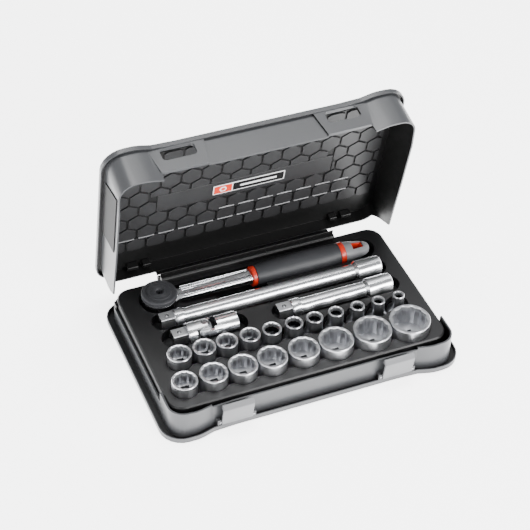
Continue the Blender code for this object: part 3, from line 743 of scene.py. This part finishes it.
badge_black = prism(rounded(-18.0, -13.8, 38.9, -2.2, 0.5, 2), *film)
badge_red = prism(rounded(-38.9, -13.8, -19.2, -2.2, 0.5, 2), *film)
nut_outline = prism(hexagon(-29.0, -8.0, 4.3), *mark)
nut_hole = prism(hexagon(-29.0, -8.0, 2.4), mark[0] - 0.05, mark[1])
bar = prism(rounded(-10.0, -9.4, 31.0, -6.6, 0.6, 2), *mark)
piece("badge_black_field", badge_black, black_film, "lid", IN_SHUT_LID, 0)
piece("badge_red_field", badge_red, red_film, "lid", IN_SHUT_LID, 0)
piece("badge_nut", nut_outline, white_film, "lid", IN_SHUT_LID, 0)
piece("badge_nut_hole", nut_hole, red_film, "lid", IN_SHUT_LID, 0)
piece("badge_bar", bar, white_film, "lid", IN_SHUT_LID, 0)

# %% [markdown]
# ## The hinge rail
#
# Behind the tray a dark rail runs between the hinge ends. It is a half-round cover with a fine line
# along each edge and a few joints, so it is drawn as one section pushed along X. An upright black
# strip stands along its back edge and fills the gap between the knuckles of the hinge with painted
# shade.

# %% Rail, its edge lines and its joints
RAIL_END = 100.0
LINE_END = 99.0
rail = [
    (86.6, 31.6),
    (93.2, 31.6),
    (93.2, 35.4),
    (92.2, 37.0),
    (90.4, 37.6),
    (88.4, 37.0),
    (87.0, 35.2),
]
# A black strip as painted shade in the gap between the knuckles.
hinge_gap_shade_strip = box((-RAIL_END, 91.6, 36.0), (RAIL_END, 93.0, 41.4))
rail_parts = [prism(rail, -RAIL_END, RAIL_END, "X"), hinge_gap_shade_strip]
piece("hinge_rail_cover", merged(rail_parts), black_pp, "case_base", IN_CASE, 0.3)
lines = []
for y, z in ((87.6, 36.0), (92.3, 36.7)):
    lines.append(box((-LINE_END, y - 0.25, z), (LINE_END, y + 0.25, z + 0.5)))
for x in (-60.0, -20.0, 20.0, 60.0):
    lines.append(box((x - 0.3, 87.2, 37.2), (x + 0.3, 92.4, 37.85)))
piece("hinge_rail_lines", merged(lines), pad_pp, "case_base", IN_CASE, 0)

# %% [markdown]
# ## The ratchet's dial and shank
#
# The direction dial is knurled round its rim so that a thumb can turn it, and its top is turned in
# steps. The knurling is one ring whose radius alternates from point to point, and each step is a
# ring of its own. A polished collar on the head stands round the dial's foot.

# %% Knurling and steps on the dial
dial_low, dial_high = (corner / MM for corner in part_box("ratchet_dial"))
dial_middle = ((dial_low.x + dial_high.x) / 2, (dial_low.y + dial_high.y) / 2)
KNURLS = 66
DIAL_SIDES = 72
STEP_FOOT = 42.2
CHAMFER = 0.15


def knurl(i):
    return 19.1 if i % 2 else 18.5


rim = [(18.2, 37.8), (knurl, 38.2), (knurl, 41.0), (18.2, 41.5)]
knurling = ring_of(rim, 2 * KNURLS, dial_middle)
piece("dial_knurling", knurling, dial_abs, "selector", IN_CASE, 0)
dial_steps = []
for inner, outer, top in (
    (15.4, 17.4, 42.75),
    (12.4, 12.9, 43.45),
    (8.4, 9.0, 43.6),
    (5.0, 7.4, 43.75),
):
    section = [
        (inner, STEP_FOOT),
        (outer, STEP_FOOT),
        (outer, top - CHAMFER),
        (outer - CHAMFER, top),
        (inner + CHAMFER, top),
        (inner, top - CHAMFER),
    ]
    dial_steps.append(ring_of(section, DIAL_SIDES, dial_middle))
piece("dial_steps", merged(dial_steps), dial_abs, "selector", IN_CASE, 0)
section = [
    (17.0, 36.0),
    (18.6, 36.0),
    (18.9, 36.4),
    (18.9, 36.8),
    (18.4, 37.05),
    (17.0, 37.05),
]
collar = ring_of(section, DIAL_SIDES, dial_middle)
piece("head_collar", collar, polished_chrome, "ratchet", IN_CASE, 0)

# %% [markdown]
# The forged shank has raised ribs that catch the light as long bright lines. Each is a bar with
# sloping sides, sunk a little in the shank.

# %% Ribs along the shank
SHANK_RIB_FOOT, SHANK_RIB_TOP = 34.6, 36.5
SHANK_RIB_ENDS = (-86.0, -9.0)
shank_y = dial_middle[1]
shank_ribs = []
for offset, half_foot in ((-6.9, 0.9), (0.6, 0.8), (3.4, 0.8), (6.9, 0.9)):
    y = shank_y + offset
    half_top = half_foot * 0.5
    outline = [
        (y - half_foot, SHANK_RIB_FOOT),
        (y + half_foot, SHANK_RIB_FOOT),
        (y + half_top, SHANK_RIB_TOP),
        (y - half_top, SHANK_RIB_TOP),
    ]
    shank_ribs.append(prism(outline, *SHANK_RIB_ENDS, "X"))
piece("shank_ribs", merged(shank_ribs), polished_chrome, "ratchet", IN_CASE, 0.3)

# %% [markdown]
# ## Floor, light and camera
#
# A plain pale floor keeps the eye on the set. In a studio a white sweep is lit on its own until it
# is nearly blank. Here the paper glows instead, which stands for that light.

# %% Floor
FLOOR_REACH = 6.0
FLOOR_Z = -0.0003
FLOOR_GLOW = 4.0
floor_mesh = bpy.data.meshes.new("studio_floor")
corner_signs = ((-1, -1), (1, -1), (1, 1), (-1, 1))
corners = [(x * FLOOR_REACH, y * FLOOR_REACH, FLOOR_Z) for x, y in corner_signs]
floor_mesh.from_pydata(corners, [], [(0, 1, 2, 3)])
floor = bpy.data.objects.new("studio_floor", floor_mesh)
bpy.context.scene.collection.objects.link(floor)
paper, _, paper_shader = surface("pale_matt_paper", "#FAFAFA", 0.9)
paper_shader.inputs["Emission Color"].default_value = linear("#FFFFFF")
paper_shader.inputs["Emission Strength"].default_value = FLOOR_GLOW
floor_mesh.materials.append(paper)
print("floor", 2 * FLOOR_REACH, "m across")

# %% [markdown]
# Chrome shows what is around it, so the softboxes are large and leave darker gaps between them: the
# gaps draw the edges of the sockets. The strongest stands low at the front right, and the world
# gives an even, slightly blue fill.

# %% Light
WORLD_STRENGTH = 0.45
world = bpy.data.worlds.new("studio")
bpy.context.scene.world = world
world.use_nodes = True
background = world.node_tree.nodes["Background"]
background.inputs["Color"].default_value = linear("#F2F4F7")
background.inputs["Strength"].default_value = WORLD_STRENGTH


def softbox(name, place, target, width, height, watts):
    """A rectangular lamp turned to face its target, in metres and watts."""
    lamp = bpy.data.lights.new(name, "AREA")
    lamp.shape = "RECTANGLE"
    lamp.size = width
    lamp.size_y = height
    lamp.energy = watts
    made = bpy.data.objects.new(name, lamp)
    bpy.context.scene.collection.objects.link(made)
    made.location = place
    made.rotation_euler = (Vector(target) - Vector(place)).to_track_quat("-Z", "Y").to_euler()


softbox(
    "overhead_softbox",
    place=(0.1, 0.35, 1.7),
    target=(0, 0, 0.03),
    width=1.4,
    height=0.6,
    watts=34,
)
softbox(
    "front_left_softbox",
    place=(-1.4, -0.9, 1.0),
    target=(0, 0, 0.05),
    width=0.6,
    height=1.0,
    watts=9,
)
softbox(
    "right_softbox",
    place=(0.8, -1.6, 0.8),
    target=(0, 0, 0.05),
    width=0.9,
    height=0.9,
    watts=46,
)

# %% [markdown]
# The camera stands high in front and to the left, with a long lens, so that the parallel edges of
# the case hardly converge. Its place is given by the way back to it: an angle round the set, one
# above the floor, and a small roll.

# %% Camera
LENS_MM, SENSOR_MM = 110.4, 36.0
CAMERA_PLACE = (-0.5096, -1.0991, 1.2159)
AZIMUTH, ELEVATION, ROLL = (math.radians(a) for a in (-23.99, 42.64, 2.52))
camera_back = Vector(
    (
        math.sin(AZIMUTH) * math.cos(ELEVATION),
        -math.cos(AZIMUTH) * math.cos(ELEVATION),
        math.sin(ELEVATION),
    )
)
level_right = Vector((math.cos(AZIMUTH), math.sin(AZIMUTH), 0))
level_up = camera_back.cross(level_right)
right = math.cos(ROLL) * level_right + math.sin(ROLL) * level_up
up = -math.sin(ROLL) * level_right + math.cos(ROLL) * level_up
camera_data = bpy.data.cameras.new("camera")
camera_data.lens = LENS_MM
camera_data.sensor_width = SENSOR_MM
camera = bpy.data.objects.new("camera", camera_data)
bpy.context.scene.collection.objects.link(camera)
camera.matrix_world = Matrix((right, up, camera_back)).transposed().to_4x4()
camera.location = CAMERA_PLACE
bpy.context.scene.camera = camera
print("camera at", [round(v, 3) for v in camera.location])
